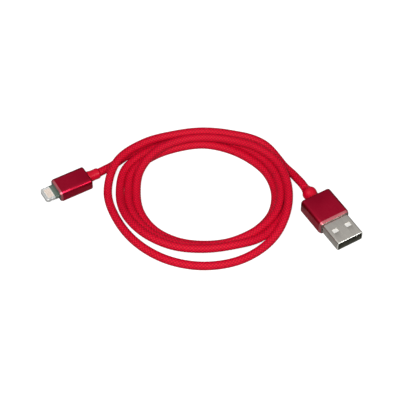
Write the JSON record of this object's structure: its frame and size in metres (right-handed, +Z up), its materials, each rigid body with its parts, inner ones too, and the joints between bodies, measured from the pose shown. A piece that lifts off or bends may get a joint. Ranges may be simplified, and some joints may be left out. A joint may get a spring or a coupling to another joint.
{
  "type": "charging cable",
  "caption": "Braided charging lead wound in a flat coil, with a rectangular computer plug on one end and a small reversible tab plug for a phone on the other.",
  "frame": {"origin": "on the surface that the cable lies on, under the middle of the box that holds the two plugs", "axes": "+X from the phone plug's side to the USB plug's side, +Y from the plugs towards the far side of the coil, +Z up"},
  "size_m": [0.1295, 0.0734, 0.0083],
  "materials": {
    "braid_red": "woven braid, soft sheen",
    "boot_red": "smooth moulded, glossy",
    "anodised_red": "fine blasted, red anodised",
    "plug_steel": "nickel plated, satin",
    "gold_contact": "gold plated",
    "black_insulator": "matte moulded",
    "white_mould": "matte moulded",
    "board_green": "solder mask",
    "capacitor_tan": "ceramic",
    "wire_red": "extruded insulation",
    "wire_white": "extruded insulation",
    "wire_green": "extruded insulation",
    "wire_black": "extruded insulation"
  },
  "bodies": {
    "root": {"usb_shell": "plug_steel", "usb_tongue": "white_mould", "usb_contact_1": "gold_contact", "usb_contact_2": "gold_contact", "usb_contact_3": "gold_contact", "usb_contact_4": "gold_contact", "usb_front_collar": "plug_steel", "usb_housing": "anodised_red", "usb_inner_mould": "white_mould", "usb_crimp_ring": "plug_steel", "usb_cable_core": "white_mould", "usb_wire_red": "wire_red", "usb_wire_white": "wire_white", "usb_wire_green": "wire_green", "usb_wire_black": "wire_black", "usb_strain_relief": "boot_red", "phone_tab": "plug_steel", "phone_contact_block": "white_mould", "phone_contacts_top": "gold_contact", "phone_contacts_bottom": "gold_contact", "phone_circuit_board": "board_green", "phone_chip": "black_insulator", "phone_capacitors": "capacitor_tan", "phone_front_collar": "plug_steel", "phone_housing": "anodised_red", "phone_inner_mould": "white_mould", "phone_crimp_ring": "plug_steel", "phone_cable_core": "white_mould", "phone_wire_red": "wire_red", "phone_wire_white": "wire_white", "phone_wire_green": "wire_green", "phone_wire_black": "wire_black", "phone_strain_relief": "boot_red", "cord": "braid_red"}
  },
  "joints": []
}
